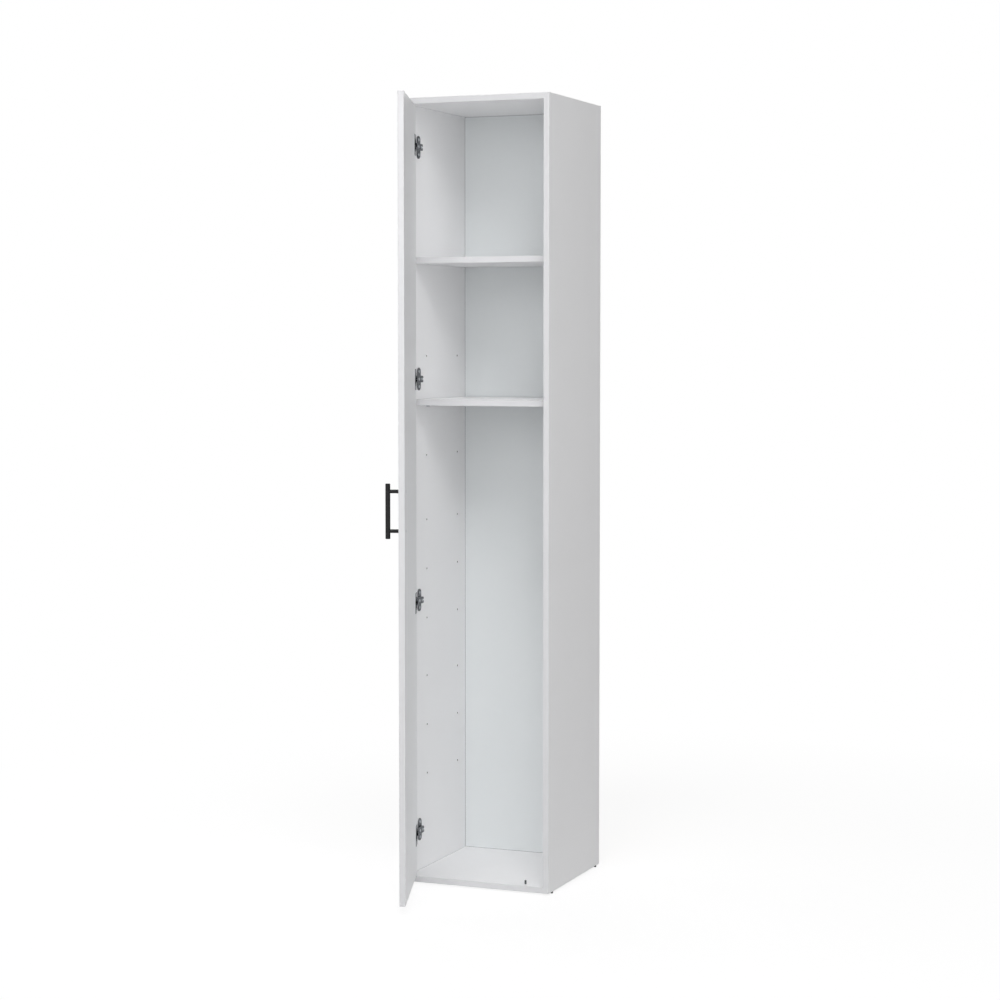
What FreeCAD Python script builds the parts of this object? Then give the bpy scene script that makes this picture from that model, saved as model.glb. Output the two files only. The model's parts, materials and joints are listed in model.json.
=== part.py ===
import FreeCAD, Part
import math
import os

# Broom cupboard: a tall narrow carcass of faced board with one inset door on four
# concealed hinges, a fixed shelf, an adjustable shelf and a bar handle.
# Millimetres. The origin is on the floor, in the middle of the back face that stands
# against the wall. Seen from the front, +X is to the right, +Y to the back and +Z up.
# The door is built closed and then turned about its hinge pins to the open rest pose.

# Overall size
cabinet_width = 400.0
cabinet_depth = 380.0
cabinet_height = 2000.0

# Boards
board = 15.0
back_thickness = 3.0
back_margin = 2.0
edge_band = 1.0
edge_round = 0.5

# Clearances and cuts that all pieces share
press_clearance = 0.05
pivot_clearance = 0.05
hole_end_clearance = 0.2
cut_overrun = 2.0

# Feet under the side panels
foot_height = 5.0
foot_top_radius = 3.4
foot_bottom_radius = 3.0
foot_from_side = 3.7
foot_from_front = 34.0
foot_from_rear = 24.0
foot_nail_radius = 1.0
foot_nail_length = 16.0
foot_nail_head_radius = 2.0
foot_nail_head_height = 1.0
foot_nail_recess = 1.2

# Shelves
shelf_recess = 30.0
fixed_shelf_share = 0.7925
loose_shelf_side_gap = 1.0
loose_shelf_rear_gap = 2.0

# Shelf pins and their rows of holes
pin_radius = 2.5
pin_reach = 8.0
pin_hole_depth = 10.0
pin_row_pitch = 128.0
pin_group_shares = (0.1945, 0.3985, 0.6105)
pin_rows_in_group = 3
pin_from_front = 122.0
pin_from_rear = 57.0

# Cam locks, bolts, caps and dowels that join the boards
cam_radius = 7.5
cam_depth = 11.0
cam_from_end = 24.0
cam_slot_radius = 4.0
cam_cap_height = 1.0
cam_cross_width = 1.6
cam_cross_depth = 2.0
bolt_thread_radius = 2.5
bolt_thread_length = 11.0
bolt_shank_radius = 2.8
bolt_head_radius = 3.5
bolt_head_length = 4.0
dowel_radius = 4.0
dowel_length = 30.0
dowel_in_side = 10.0
joint_from_front = 50.0
joint_from_rear = 50.0
dowel_from_cam = 32.0

# Nails of the back panel
nail_radius = 0.8
nail_length = 20.0
nail_head_radius = 2.0
nail_head_height = 0.8
nails_per_side = 8
nails_per_end = 3
nail_from_corner = 60.0

# Door and its gap all round
door_gap = 3.0
door_recess = 4.0
rest_angle = 70.3

# Door stop peg on the bottom panel
peg_radius = 2.5
peg_height = 10.0
peg_depth = 8.0
peg_chamfer = 0.6
peg_from_side = 55.0
peg_from_door = 0.4

# Bar handle
handle_bar_radius = 6.0
handle_bar_overhang = 19.0
handle_bar_chamfer = 1.0
handle_post_radius = 4.5
handle_post_spacing = 96.0
handle_reach = 29.0
handle_socket_depth = 3.0
handle_from_edge = 40.0
handle_drop = 23.5
handle_screw_radius = 2.0
handle_screw_grip = 12.0
handle_screw_head_radius = 4.2
handle_screw_head_height = 2.4
handle_hole_radius = 2.4

# Hinge places: the end hinges from the ends of the door, the others between them
top_hinge_from_end = 100.0
bottom_hinge_from_end = 103.0
upper_hinge_share = 0.328
lower_hinge_share = 0.32
pivot_from_edge = 7.0
pivot_from_face = 9.4

# Hinge cup in the door, and its pin
cup_radius = 17.5
cup_depth = 12.5
cup_wall = 0.9
cup_floor = 0.7
cup_from_edge = 3.0
flange_thickness = 1.2
flange_rim = 0.8
flange_past_screws = 5.5
flange_corner = 3.0
cup_screw_spacing = 42.0
cup_screw_offset = 5.0
cup_screw_radius = 1.6
cup_screw_length = 11.0
cup_screw_head_radius = 3.2
cup_screw_head_height = 1.0
hinge_pin_radius = 1.0
hinge_pin_length = 16.8
pin_lug_radius = 2.8
pin_lug_gap = 0.8

# Cranked hinge arm
arm_eye_radius = 2.0
arm_eye_width = 8.0
arm_web = 2.4
arm_thickness = 2.2
arm_sweep_gap = 0.8
arm_width = 16.6
arm_plate = 3.0
arm_cheek = 1.4
arm_end_from_front = 82.0
arm_neck_length = 22.0
arm_neck_angle = 50.0
arm_cheek_clearance = 0.3
arm_screw_radius = 2.0
arm_screw_head_radius = 3.6
arm_screw_head_height = 2.0
arm_screw_from_end = 9.0
arm_screw_pitch = 17.0
arm_end_clip = 2.0

# Hinge mounting plate on the left side panel
plate_from_front = 71.0
plate_height = 58.0
plate_width = 20.0
plate_thickness = 2.0
plate_rail_height = 5.5
plate_rail_from_front = 36.0
plate_screw_spacing = 38.0
plate_screw_radius = 2.2
plate_screw_length = 13.0
plate_screw_head_radius = 3.8
plate_screw_head_height = 1.8

# Recess of the cross slot in all screw heads
slot_width_share = 0.22
slot_length_share = 1.2
slot_depth_share = 0.55

Vec = FreeCAD.Vector
RIGHT = Vec(1, 0, 0)
BACK = Vec(0, 1, 0)
UP = Vec(0, 0, 1)
SIDES = (-1, 1)

# Planes of the carcass
left_outer = -cabinet_width / 2
left_inner = left_outer + board
right_inner = -left_inner
right_outer = -left_outer
front = -cabinet_depth
board_front = front + edge_band
board_rear = -back_thickness
carcass_bottom = foot_height
carcass_height = cabinet_height - carcass_bottom
floor_top = carcass_bottom + board
ceiling = cabinet_height - board
shelf_front = front + shelf_recess
fixed_shelf_bottom = carcass_bottom + fixed_shelf_share * carcass_height
pin_group_heights = [carcass_bottom + share * carcass_height for share in pin_group_shares]
loose_shelf_bottom = pin_group_heights[-1] + pin_radius
pin_columns = (front + pin_from_front, -pin_from_rear)
nail_rows = (carcass_bottom + board / 2, cabinet_height - board / 2)

# Planes of the closed door
door_hinge_edge = left_inner + door_gap
door_free_edge = right_inner - door_gap
door_bottom = floor_top + door_gap
door_top = ceiling - door_gap
door_face = front + door_recess
door_inner_face = door_face + board
door_middle = (door_bottom + door_top) / 2
pivot_x = door_hinge_edge + pivot_from_edge
pivot_y = door_inner_face - pivot_from_face
cup_x = door_hinge_edge + cup_from_edge + cup_radius
cup_screw_x = cup_x + cup_screw_offset
handle_x = door_free_edge - handle_from_edge
handle_z = door_middle - handle_drop
handle_bar_length = handle_post_spacing + 2 * handle_bar_overhang
top_hinge_z = door_top - top_hinge_from_end
bottom_hinge_z = door_bottom + bottom_hinge_from_end
hinge_middle = (top_hinge_z + bottom_hinge_z) / 2
hinge_reach = (top_hinge_z - bottom_hinge_z) / 2
hinge_shares = (1.0, upper_hinge_share, -lower_hinge_share, -1.0)
hinge_names = ("top", "upper", "lower", "bottom")
hinge_heights = [hinge_middle + share * hinge_reach for share in hinge_shares]

# The arm clears the corner of the door that turns inside its hook
arm_inner_radius = math.hypot(pivot_from_edge, pivot_from_face) + arm_sweep_gap
arm_outer_radius = arm_inner_radius + arm_thickness
arm_seat = left_inner + plate_rail_height
arm_top = arm_seat + arm_plate
arm_front = pivot_y + arm_inner_radius
arm_end = front + arm_end_from_front
arm_screw_rows = (arm_end - arm_screw_from_end, arm_end - arm_screw_from_end - arm_screw_pitch)
rail_width = arm_width - 2 * arm_cheek - 2 * arm_cheek_clearance
plate_y = front + plate_from_front


def box(low, high):
    size = high.sub(low)
    return Part.makeBox(size.x, size.y, size.z, low)


def rod(radius, start, end):
    along = end.sub(start)
    return Part.makeCylinder(radius, along.Length, start, along)


def ease_edges(band, out):
    """Rounds the two long edges on the outer face of an edge band."""
    reach = max(edge.CenterOfMass.dot(out) for edge in band.Edges)
    outer = [e for e in band.Edges if e.CenterOfMass.dot(out) > reach - edge_band / 2]
    longest = max(edge.Length for edge in outer)
    return band.makeFillet(edge_round, [e for e in outer if e.Length > longest / 2])


def cross_slot(head_radius, head_height, top, out):
    """The cross recess that a screw head has in its top, as a cutter."""
    length = slot_length_share * head_radius
    width = slot_width_share * head_radius
    depth = slot_depth_share * head_height
    bars = []
    for a, b in ((length, width), (width, length)):
        low = Vec(-a / 2, -b / 2, -depth)
        bars.append(box(low, Vec(a / 2, b / 2, depth)))
    cutter = bars[0].fuse(bars[1])
    cutter.Placement = FreeCAD.Placement(top, FreeCAD.Rotation(UP, out))
    return cutter


def screw(shank_radius, length, head_radius, head_height, seat, out):
    """A pan head screw. Its head stands on seat, towards out."""
    top = seat + out * head_height
    shank = rod(shank_radius, seat - out * length, seat)
    head = rod(head_radius, seat, top)
    rim = [e for e in head.Edges if (e.CenterOfMass - top).Length < head_height / 2]
    rounded = head.makeFillet(head_height / 2, rim)
    return shank.fuse(rounded).cut(cross_slot(head_radius, head_height, top, out))


def flush_screw(shank_radius, length, head, top, clearance):
    """A countersunk screw driven into the closed door from behind. Its flat head ends at top."""
    head_radius, head_height = head
    inward = -BACK
    seat = top + inward * head_height
    cone = Part.makeCone(head_radius + clearance, shank_radius + clearance, head_height, top, inward)
    shank = rod(shank_radius + clearance, seat, top + inward * (length + clearance))
    return cone.fuse(shank)


def turned_open(shape):
    """The closed door's pieces turn about the hinge pins to the rest pose."""
    return shape.rotated(Vec(pivot_x, pivot_y, 0), UP, -rest_angle)


# Joints of the boards: side, place along the depth, middle of the board, way the cam faces
def joint_levels():
    middle = board / 2
    yield ceiling + middle, 1, front
    yield carcass_bottom + middle, -1, front
    yield fixed_shelf_bottom + middle, 1, shelf_front


def cam_places():
    for z, facing, panel_front in joint_levels():
        for y in (panel_front + joint_from_front, board_rear - joint_from_rear):
            for side in SIDES:
                yield side, y, z, facing


def dowel_places():
    for z, facing, panel_front in joint_levels():
        front_row = panel_front + joint_from_front + dowel_from_cam
        rear_row = board_rear - joint_from_rear - dowel_from_cam
        for y in (front_row, rear_row):
            for side in SIDES:
                yield side, y, z


def cam_bolt(side, y, z):
    joint = Vec(side * right_inner, y, z)
    out = Vec(side, 0, 0)
    head_start = joint - out * (cam_from_end - bolt_head_length / 2)
    thread = rod(bolt_thread_radius, joint, joint + out * bolt_thread_length)
    shank = rod(bolt_shank_radius, head_start, joint)
    head = rod(bolt_head_radius, head_start - out * bolt_head_length, head_start)
    return thread.fuse([shank, head])


def bolt_bore(side, y, z):
    joint = Vec(side * right_inner, y, z)
    out = Vec(side, 0, 0)
    return rod(cam_slot_radius, joint - out * cam_from_end, joint + out * cut_overrun)


def bolt_hole(side, y, z):
    joint = Vec(side * right_inner, y, z)
    out = Vec(side, 0, 0)
    depth = bolt_thread_length + hole_end_clearance
    return rod(bolt_thread_radius + press_clearance, joint - out * cut_overrun, joint + out * depth)


def cam_bore(side, y, z, facing):
    """The round pocket of a cam, open at the face of the board that the cam looks out of."""
    mouth = Vec(side * (right_inner - cam_from_end), y, z + facing * board / 2)
    depth = cam_depth + cam_cap_height + hole_end_clearance
    out = UP * facing
    return rod(cam_radius + press_clearance, mouth - out * depth, mouth + out * cut_overrun)


def cam_lock(side, y, z, facing):
    out = UP * facing
    mouth = Vec(side * (right_inner - cam_from_end), y, z + facing * board / 2)
    top = mouth - out * cam_cap_height
    body = rod(cam_radius, top - out * cam_depth, top)
    way_in = Vec(mouth.x - side * (bolt_head_length + cam_slot_radius / 2), y, z)
    slot = rod(cam_slot_radius, way_in, way_in + Vec(side * cam_from_end, 0, 0))
    arms = []
    for a, b in ((cam_radius, cam_cross_width), (cam_cross_width, cam_radius)):
        half = Vec(a / 2, b / 2, cam_cross_depth)
        arms.append(box(top - half, top + half))
    return body.cut([slot] + arms)


def cam_cap(side, y, z, facing):
    out = UP * facing
    mouth = Vec(side * (right_inner - cam_from_end), y, z + facing * board / 2)
    return rod(cam_radius, mouth - out * cam_cap_height, mouth)


def dowel(side, y, z, clearance=0, end_clearance=0):
    out = Vec(side, 0, 0)
    joint = Vec(side * right_inner, y, z)
    in_panel = dowel_length - dowel_in_side
    start = joint - out * (in_panel + end_clearance)
    return rod(dowel_radius + clearance, start, joint + out * (dowel_in_side + end_clearance))


def dowel_hole(side, y, z):
    return dowel(side, y, z, press_clearance, hole_end_clearance)


# Rows of shelf pin holes, and the pins under the adjustable shelf
def pin_hole_heights():
    middle = (pin_rows_in_group - 1) / 2
    for group in pin_group_heights:
        for row in range(pin_rows_in_group):
            yield group + (row - middle) * pin_row_pitch


def pin_hole(side, y, z):
    wall = Vec(side * right_inner, y, z)
    out = Vec(side, 0, 0)
    return rod(pin_radius + press_clearance, wall - out * cut_overrun, wall + out * pin_hole_depth)


def shelf_pin(side, y, z):
    wall = Vec(side * right_inner, y, z)
    out = Vec(side, 0, 0)
    return rod(pin_radius, wall - out * pin_reach, wall + out * (pin_hole_depth - hole_end_clearance))


# Nails of the back panel
def spread(low, high, count):
    step = (high - low) / (count - 1)
    return [low + step * i for i in range(count)]


def nail_places():
    low = carcass_bottom + nail_from_corner
    for z in spread(low, cabinet_height - nail_from_corner, nails_per_side):
        for side in SIDES:
            yield side * (right_inner + board / 2), z
    for x in spread(left_inner + nail_from_corner, right_inner - nail_from_corner, nails_per_end):
        for z in nail_rows:
            yield x, z


def nail(x, z, clearance=0):
    head_seat = Vec(x, -nail_head_height, z)
    head = rod(nail_head_radius + clearance, head_seat, Vec(x, 0, z))
    shank = rod(nail_radius + clearance, Vec(x, -nail_length, z), head_seat)
    return shank.fuse(head)


def nail_holes():
    return [nail(x, z, press_clearance) for x, z in nail_places()]


# Feet
def foot_places():
    x = right_outer - foot_from_side
    return {
        "front_left_foot": (-x, front + foot_from_front),
        "front_right_foot": (x, front + foot_from_front),
        "rear_left_foot": (-x, -foot_from_rear),
        "rear_right_foot": (x, -foot_from_rear),
    }


def foot_nail(x, y, clearance=0):
    head_low = Vec(x, y, foot_nail_recess)
    head_top = head_low + UP * foot_nail_head_height
    head = rod(foot_nail_head_radius + clearance, head_low, head_top)
    return head.fuse(rod(foot_nail_radius + clearance, head_low, head_low + UP * foot_nail_length))


def foot(x, y):
    glide = Part.makeCone(foot_bottom_radius, foot_top_radius, foot_height, Vec(x, y, 0), UP)
    pocket = rod(foot_nail_head_radius + press_clearance, Vec(x, y, 0), Vec(x, y, foot_nail_recess))
    return glide.cut([pocket, foot_nail(x, y, press_clearance)])


# Boards of the carcass
def side_panel(side):
    low = Vec(min(side * right_inner, side * right_outer), board_front, carcass_bottom)
    high = Vec(max(side * right_inner, side * right_outer), board_rear, cabinet_height)
    cutters = [bolt_hole(s, y, z) for s, y, z, facing in cam_places() if s == side]
    cutters += [dowel_hole(s, y, z) for s, y, z in dowel_places() if s == side]
    cutters += [pin_hole(side, y, z) for y in pin_columns for z in pin_hole_heights()]
    cutters += [nail(x, z, press_clearance) for x, z in nail_places() if low.x < x < high.x]
    cutters += [foot_nail(x, y, press_clearance) for x, y in foot_places().values() if low.x < x < high.x]
    if side < 0:
        cutters += [plate_screw_hole(z) for z in plate_screw_heights()]
    return box(low, high).cut(cutters)


def side_band(side):
    low = Vec(min(side * right_inner, side * right_outer), front, carcass_bottom)
    high = Vec(max(side * right_inner, side * right_outer), board_front, cabinet_height)
    return ease_edges(box(low, high), -BACK)


def cross_board(bottom, panel_front):
    """A board between the sides, bored for its cams, bolts, dowels and nails."""
    low = Vec(left_inner, panel_front + edge_band, bottom)
    blank = box(low, Vec(right_inner, board_rear, bottom + board))
    middle = bottom + board / 2
    cutters = []
    for side, y, z, facing in cam_places():
        if abs(z - middle) < board / 2:
            cutters += [cam_bore(side, y, z, facing), bolt_bore(side, y, z)]
    cutters += [dowel_hole(s, y, z) for s, y, z in dowel_places() if abs(z - middle) < board / 2]
    cutters += [nail(x, z, press_clearance) for x, z in nail_places() if abs(z - middle) < board / 2]
    return blank.cut(cutters)


def cross_band(bottom, panel_front, side_gap=0):
    low = Vec(left_inner + side_gap, panel_front, bottom)
    high = Vec(right_inner - side_gap, panel_front + edge_band, bottom + board)
    return ease_edges(box(low, high), -BACK)


def bottom_panel():
    return cross_board(carcass_bottom, front).cut(peg_hole())


def adjustable_shelf():
    half_width = right_inner - loose_shelf_side_gap
    rear = board_rear - loose_shelf_rear_gap
    low = Vec(-half_width, shelf_front + edge_band, loose_shelf_bottom)
    return box(low, Vec(half_width, rear, loose_shelf_bottom + board))


def back_panel():
    low = Vec(left_outer + back_margin, board_rear, carcass_bottom + back_margin)
    high = Vec(right_outer - back_margin, 0, cabinet_height - back_margin)
    return box(low, high).cut(nail_holes())


# Door stop peg
def peg_place():
    return right_inner - peg_from_side, door_inner_face + peg_from_door + peg_radius


def peg_hole():
    x, y = peg_place()
    low = Vec(x, y, floor_top - peg_depth - hole_end_clearance)
    return rod(peg_radius + press_clearance, low, Vec(x, y, floor_top + cut_overrun))


def door_stop_peg():
    x, y = peg_place()
    top = Vec(x, y, floor_top + peg_height)
    peg = rod(peg_radius, Vec(x, y, floor_top - peg_depth), top)
    rim = [e for e in peg.Edges if (e.CenterOfMass - top).Length < peg_radius / 2]
    return peg.makeChamfer(peg_chamfer, rim)


# Hinge mounting plates, on the left side panel
def plate_screw_heights():
    for hinge_z in hinge_heights:
        for end in SIDES:
            yield hinge_z + end * plate_screw_spacing / 2


def plate_screw_hole(z):
    wall = Vec(left_inner, plate_y, z)
    depth = plate_screw_length - plate_thickness + hole_end_clearance
    radius = plate_screw_radius + press_clearance
    return rod(radius, wall - Vec(depth, 0, 0), wall + Vec(cut_overrun, 0, 0))


def plate_screw(z):
    seat = Vec(left_inner + plate_thickness, plate_y, z)
    length = plate_screw_length
    return screw(plate_screw_radius, length, plate_screw_head_radius, plate_screw_head_height, seat, RIGHT)


def arm_screw(y, z):
    seat = Vec(arm_top, y, z)
    length = arm_top - left_inner - plate_thickness
    return screw(arm_screw_radius, length, arm_screw_head_radius, arm_screw_head_height, seat, RIGHT)


def arm_screw_bore(y, z):
    low = Vec(left_inner + plate_thickness, y, z)
    return rod(arm_screw_radius + press_clearance, low, Vec(arm_top + cut_overrun, y, z))


def mounting_plate(hinge_z):
    """Two rounded wings with screw holes, and a raised rail that the arm slides on."""
    end_radius = plate_width / 2
    wing_half = plate_height / 2 - end_radius
    wing = box(
        Vec(left_inner, plate_y - end_radius, hinge_z - wing_half),
        Vec(left_inner + plate_thickness, plate_y + end_radius, hinge_z + wing_half),
    )
    for end in SIDES:
        centre = Vec(left_inner, plate_y, hinge_z + end * wing_half)
        wing = wing.fuse(rod(end_radius, centre, centre + Vec(plate_thickness, 0, 0)))
    rail = box(
        Vec(left_inner, front + plate_rail_from_front, hinge_z - rail_width / 2),
        Vec(arm_seat, arm_end - arm_cheek, hinge_z + rail_width / 2),
    )
    cutters = [arm_screw_bore(y, hinge_z) for y in arm_screw_rows]
    for end in SIDES:
        centre = Vec(left_inner, plate_y, hinge_z + end * plate_screw_spacing / 2)
        radius = plate_screw_radius + press_clearance
        cutters.append(rod(radius, centre, centre + RIGHT * plate_rail_height))
    return wing.fuse(rail).removeSplitter().cut(cutters)


# Hinge arms: an eye on the pin, a hook round the edge of the door and a channel on the rail
def arm_hook(hinge_z):
    low = Vec(pivot_x, pivot_y, hinge_z - arm_eye_width / 2)
    high = low + UP * arm_eye_width
    start = Vec(pivot_x, pivot_y - arm_web / 2, low.z)
    quarter = box(start, Vec(pivot_x + arm_outer_radius, pivot_y + arm_outer_radius, high.z))
    disc = rod(arm_outer_radius, low, high).common(quarter)
    web_end = Vec(pivot_x + arm_inner_radius + arm_thickness / 2, pivot_y + arm_web / 2, high.z)
    return disc.cut(rod(arm_inner_radius, low, high)), box(start, web_end)


def arm_neck(hinge_z):
    """The part of the arm that leans from the hook over to the rail."""
    angle = math.radians(arm_neck_angle)
    reach = (arm_inner_radius + arm_outer_radius) / 2
    crest = Vec(pivot_x + reach * math.cos(angle), pivot_y + reach * math.sin(angle), 0)
    foot_y = arm_front + arm_neck_length
    outline = [
        Vec(arm_seat, arm_front, 0),
        Vec(pivot_x, arm_front, 0),
        crest,
        Vec(arm_top, foot_y, 0),
        Vec(arm_seat, foot_y, 0),
    ]
    width = arm_width - 2 * arm_cheek
    face = Part.Face(Part.makePolygon(outline + outline[:1]))
    prism = face.extrude(UP * width)
    prism.translate(UP * (hinge_z - width / 2))
    return prism


def arm_block(x_low, x_high, y_low, hinge_z):
    """A length of the arm at its full width, with the corners of its rear end clipped."""
    half = arm_width / 2
    clip_y = arm_end - arm_end_clip
    clip_half = half - arm_end_clip
    outline = [
        (y_low, -half),
        (clip_y, -half),
        (arm_end, -clip_half),
        (arm_end, clip_half),
        (clip_y, half),
        (y_low, half),
    ]
    corners = [Vec(x_low, y, hinge_z + z) for y, z in outline]
    face = Part.Face(Part.makePolygon(corners + corners[:1]))
    return face.extrude(RIGHT * (x_high - x_low))


def hinge_arm(hinge_z):
    half = arm_width / 2
    cheek_low = left_inner + plate_thickness + arm_cheek_clearance
    channel_start = front + plate_rail_from_front
    top = arm_block(arm_seat, arm_top, arm_front, hinge_z)
    sides = arm_block(cheek_low, arm_seat, channel_start, hinge_z)
    groove_half = half - arm_cheek
    groove = box(
        Vec(cheek_low, channel_start, hinge_z - groove_half),
        Vec(arm_seat, arm_end - arm_cheek, hinge_z + groove_half),
    )
    hook, web = arm_hook(hinge_z)
    low = Vec(pivot_x, pivot_y, hinge_z - half)
    high = low + UP * arm_width
    frame = top.fuse([sides.cut(groove), arm_neck(hinge_z)]).cut(rod(arm_inner_radius, low, high))
    eye_low = Vec(pivot_x, pivot_y, hinge_z - arm_eye_width / 2)
    eye_high = eye_low + UP * arm_eye_width
    eye = rod(arm_eye_radius, eye_low, eye_high)
    bore = rod(hinge_pin_radius + pivot_clearance, eye_low - UP * cut_overrun, eye_high + UP * cut_overrun)
    arm = frame.fuse([hook, web, eye]).removeSplitter()
    fork_half = arm_screw_radius + press_clearance
    fork = box(
        Vec(arm_seat, arm_screw_rows[0], hinge_z - fork_half),
        Vec(arm_top + cut_overrun, arm_end + cut_overrun, hinge_z + fork_half),
    )
    return arm.cut([bore, fork] + [arm_screw_bore(y, hinge_z) for y in arm_screw_rows])


# Hinge cups, pins and cup screws, in the closed door
def cup_centre(hinge_z):
    return Vec(cup_x, door_inner_face, hinge_z)


def cup_screw_places():
    for hinge_z in hinge_heights:
        for end in SIDES:
            yield Vec(cup_screw_x, door_inner_face, hinge_z + end * cup_screw_spacing / 2)


def cup_screw(place, clearance=0):
    top = place + BACK * flange_thickness
    head = (cup_screw_head_radius, cup_screw_head_height)
    return flush_screw(cup_screw_radius, cup_screw_length, head, top, clearance)


def cup_flange(hinge_z):
    """The flat plate round the mouth of the cup, with rounded corners."""
    half_width = cup_radius + flange_rim
    half_height = cup_screw_spacing / 2 + flange_past_screws
    plate = box(
        Vec(cup_x - half_width, door_inner_face, hinge_z - half_height),
        Vec(cup_x + half_width, door_inner_face + flange_thickness, hinge_z + half_height),
    )
    return plate.makeFillet(flange_corner, [e for e in plate.Edges if e.Length < half_width])


def hinge_cup(hinge_z):
    mouth = cup_centre(hinge_z)
    inward = -BACK
    bowl = rod(cup_radius, mouth + inward * cup_depth, mouth)
    hollow_floor = mouth + inward * (cup_depth - cup_floor)
    hollow = rod(cup_radius - cup_wall, hollow_floor, mouth - inward * flange_thickness)
    lugs = [lug.common(bowl) for lug in pin_lugs(hinge_z)]
    cup = bowl.fuse(cup_flange(hinge_z)).removeSplitter().cut(hollow).fuse(lugs).removeSplitter()
    pin_seat = hinge_pin(hinge_z, press_clearance)
    near = [place for place in cup_screw_places() if abs(place.z - hinge_z) < cup_screw_spacing]
    return cup.cut([pin_seat] + [cup_screw(place, press_clearance) for place in near])


def pin_lugs(hinge_z):
    """Two lugs inside the cup, beside the eye of the arm, that hold the ends of the pin."""
    start = arm_eye_width / 2 + pin_lug_gap
    lugs = []
    for end in SIDES:
        inner = Vec(pivot_x, pivot_y, hinge_z + end * start)
        lugs.append(rod(pin_lug_radius, inner, inner + UP * end * cup_radius))
    return lugs


def hinge_pin(hinge_z, clearance=0):
    low = Vec(pivot_x, pivot_y, hinge_z - hinge_pin_length / 2)
    return rod(hinge_pin_radius + clearance, low, low + UP * hinge_pin_length)


# Door
def handle_post_heights():
    return [handle_z + end * handle_post_spacing / 2 for end in SIDES]


def door_panel():
    low = Vec(door_hinge_edge + edge_band, door_face, door_bottom + edge_band)
    high = Vec(door_free_edge - edge_band, door_inner_face, door_top - edge_band)
    cutters = []
    for hinge_z in hinge_heights:
        mouth = cup_centre(hinge_z)
        floor = mouth - Vec(0, cup_depth + hole_end_clearance, 0)
        cutters.append(rod(cup_radius + press_clearance, floor, mouth + Vec(0, cut_overrun, 0)))
    cutters += [cup_screw(p, press_clearance) for p in cup_screw_places()]
    for z in handle_post_heights():
        start = Vec(handle_x, door_face - cut_overrun, z)
        cutters.append(rod(handle_hole_radius, start, Vec(handle_x, door_inner_face, z)))
        cutters.append(handle_screw(z, press_clearance))
    return box(low, high).cut(cutters)


def door_side_band(edge, side):
    inside = edge - side * edge_band
    low = Vec(min(edge, inside), door_face, door_bottom)
    high = Vec(max(edge, inside), door_inner_face, door_top)
    return ease_edges(box(low, high), RIGHT * side)


def door_end_band(edge, side):
    inside = edge - side * edge_band
    low = Vec(door_hinge_edge + edge_band, door_face, min(edge, inside))
    high = Vec(door_free_edge - edge_band, door_inner_face, max(edge, inside))
    return ease_edges(box(low, high), UP * side)


def handle_bar():
    axis_y = door_face - handle_reach
    low = Vec(handle_x, axis_y, handle_z - handle_bar_length / 2)
    bar = rod(handle_bar_radius, low, low + UP * handle_bar_length)
    rims = [e for e in bar.Edges if e.Closed and abs(e.CenterOfMass.z - handle_z) > handle_post_spacing / 2]
    bar = bar.makeChamfer(handle_bar_chamfer, rims)
    return bar.cut([handle_post_rod(z, press_clearance) for z in handle_post_heights()])


def handle_post_rod(z, clearance=0):
    end_y = door_face - handle_reach + handle_bar_radius - handle_socket_depth - clearance
    return rod(handle_post_radius + clearance, Vec(handle_x, end_y, z), Vec(handle_x, door_face, z))


def handle_post(z):
    grip = Vec(handle_x, door_face - handle_screw_grip - hole_end_clearance, z)
    screw_hole = rod(handle_screw_radius + press_clearance, grip, Vec(handle_x, door_face, z))
    return handle_post_rod(z).cut(screw_hole)


def handle_screw(z, clearance=0):
    top = Vec(handle_x, door_inner_face, z)
    head = (handle_screw_head_radius, handle_screw_head_height)
    return flush_screw(handle_screw_radius, board + handle_screw_grip, head, top, clearance)


def carcass_nodes():
    nodes = {
        "left_side_panel": side_panel(-1),
        "right_side_panel": side_panel(1),
        "top_panel": cross_board(ceiling, front),
        "bottom_panel": bottom_panel(),
        "back_panel": back_panel(),
        "fixed_shelf": cross_board(fixed_shelf_bottom, shelf_front),
        "adjustable_shelf": adjustable_shelf(),
        "left_side_edge_band": side_band(-1),
        "right_side_edge_band": side_band(1),
        "top_panel_edge_band": cross_band(ceiling, front),
        "bottom_panel_edge_band": cross_band(carcass_bottom, front),
        "fixed_shelf_edge_band": cross_band(fixed_shelf_bottom, shelf_front),
        "adjustable_shelf_edge_band": cross_band(loose_shelf_bottom, shelf_front, loose_shelf_side_gap),
        "door_stop_peg": door_stop_peg(),
    }
    shelf_pin_z = pin_group_heights[-1]
    groups = {
        "shelf_pins": [shelf_pin(side, y, shelf_pin_z) for side in SIDES for y in pin_columns],
        "cam_locks": [cam_lock(*place) for place in cam_places()],
        "cam_cover_caps": [cam_cap(*place) for place in cam_places()],
        "cam_bolts": [cam_bolt(side, y, z) for side, y, z, facing in cam_places()],
        "wood_dowels": [dowel(*place) for place in dowel_places()],
        "back_panel_nails": [nail(x, z) for x, z in nail_places()],
        "foot_nails": [foot_nail(x, y) for x, y in foot_places().values()],
        "hinge_plate_screws": [plate_screw(z) for z in plate_screw_heights()],
        "hinge_arm_screws": [arm_screw(y, z) for z in hinge_heights for y in arm_screw_rows],
    }
    nodes.update({name: Part.makeCompound(solids) for name, solids in groups.items()})
    nodes.update({name: foot(x, y) for name, (x, y) in foot_places().items()})
    for name, hinge_z in zip(hinge_names, hinge_heights):
        nodes[name + "_hinge_mounting_plate"] = mounting_plate(hinge_z)
        nodes[name + "_hinge_arm"] = hinge_arm(hinge_z)
    return nodes


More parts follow.
